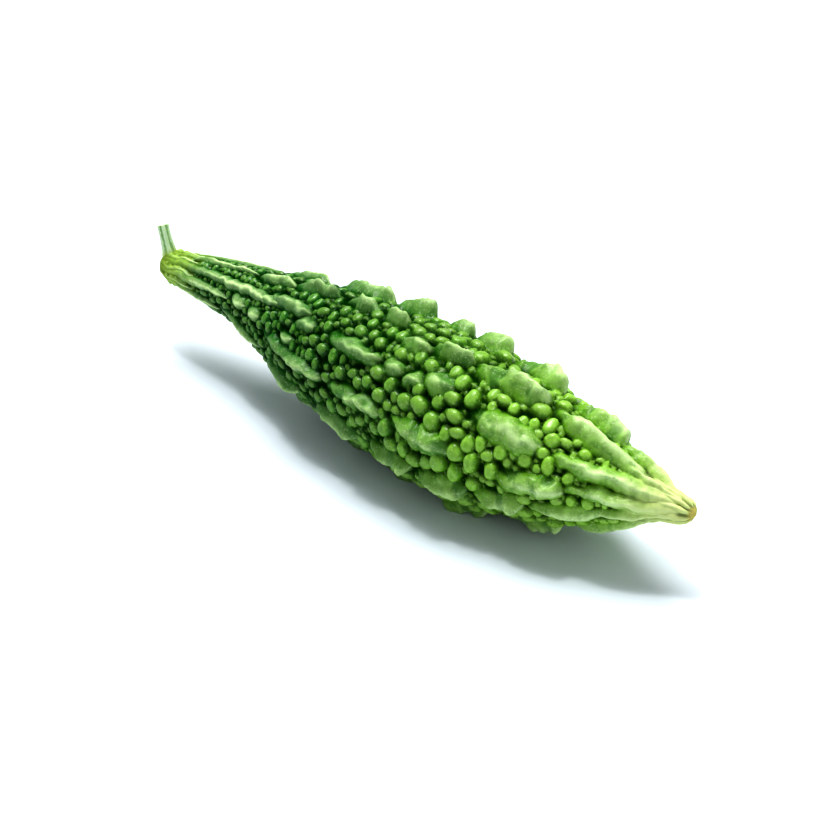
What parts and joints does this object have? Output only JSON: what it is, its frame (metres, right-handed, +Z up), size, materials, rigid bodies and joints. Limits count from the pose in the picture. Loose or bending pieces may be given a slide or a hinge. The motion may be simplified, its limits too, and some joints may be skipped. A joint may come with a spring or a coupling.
{
  "type": "bitter gourd",
  "caption": "Whole green bitter gourd lying on its side: a spindle-shaped fruit with rows of steep crests and round warts packed between them, and a short cut stalk.",
  "frame": {"origin": "on the ground under the middle of the gourd's outer box", "axes": "+X along the fruit from the stalk to the blossom tip, +Z up from the ground that it lies on"},
  "size_m": [0.2166, 0.0518, 0.05],
  "materials": {
    "rind": "waxy, semi-gloss",
    "stalk": "satin, ribbed along its length"
  },
  "bodies": {
    "root": {"fruit": "rind", "stalk": "stalk"}
  },
  "joints": []
}
